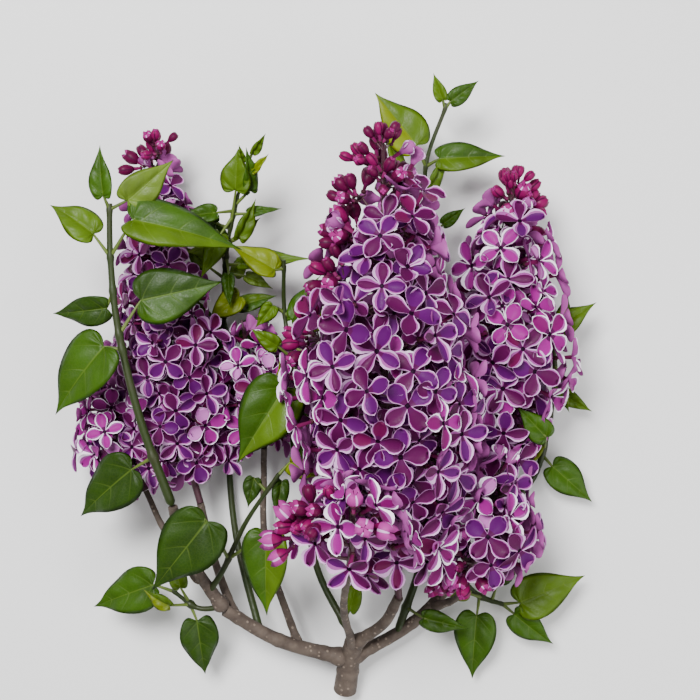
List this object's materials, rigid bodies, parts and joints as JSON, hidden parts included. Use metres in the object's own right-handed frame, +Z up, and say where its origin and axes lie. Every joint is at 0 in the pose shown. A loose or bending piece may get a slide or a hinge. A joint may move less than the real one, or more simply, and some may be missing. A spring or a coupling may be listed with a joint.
{
  "type": "cut flowering lilac branch",
  "caption": "Cut branch of a lilac bush in full flower, lying down: a short woody stem forking into boughs with purple, white-edged flower panicles and leafy shoots.",
  "frame": {"origin": "under the middle of the branch, on the surface that it lies on", "axes": "+Y from the cut end towards the flower tips, +Z up out of the surface, +X to the right when seen from above"},
  "size_m": [0.2494, 0.2936, 0.1267],
  "materials": {
    "wood": "grey-brown bark with pale pores, green on the young shoots",
    "leaf": "satin heart-shaped leaves, yellow-green to dark green, with pale veins",
    "flower": "soft plum-purple petals with a thin white edge and pale lilac backs; crimson-purple buds"
  },
  "bodies": {
    "root": {"main_stem": "wood", "bough_front_tall": "wood", "bough_front_small": "wood", "bough_right": "wood", "bough_right_rise": "wood", "bough_right_low": "wood", "bough_left": "wood", "bough_left_rise": "wood", "bough_left_tall": "wood", "bough_left_inner": "wood", "bough_left_low": "wood", "shoot_left_front": "leaf", "shoot_left_middle": "leaf", "shoot_inner": "leaf", "shoot_top": "leaf", "shoot_right": "leaf", "shoot_front_left": "leaf", "shoot_low_left": "leaf", "shoot_low_right": "leaf", "panicle_front_tall": "flower", "panicle_front_small": "flower", "panicle_right_tall": "flower", "panicle_right_low": "flower", "panicle_left_tall": "flower", "panicle_left_inner": "flower", "panicle_left_low": "flower"}
  },
  "joints": []
}
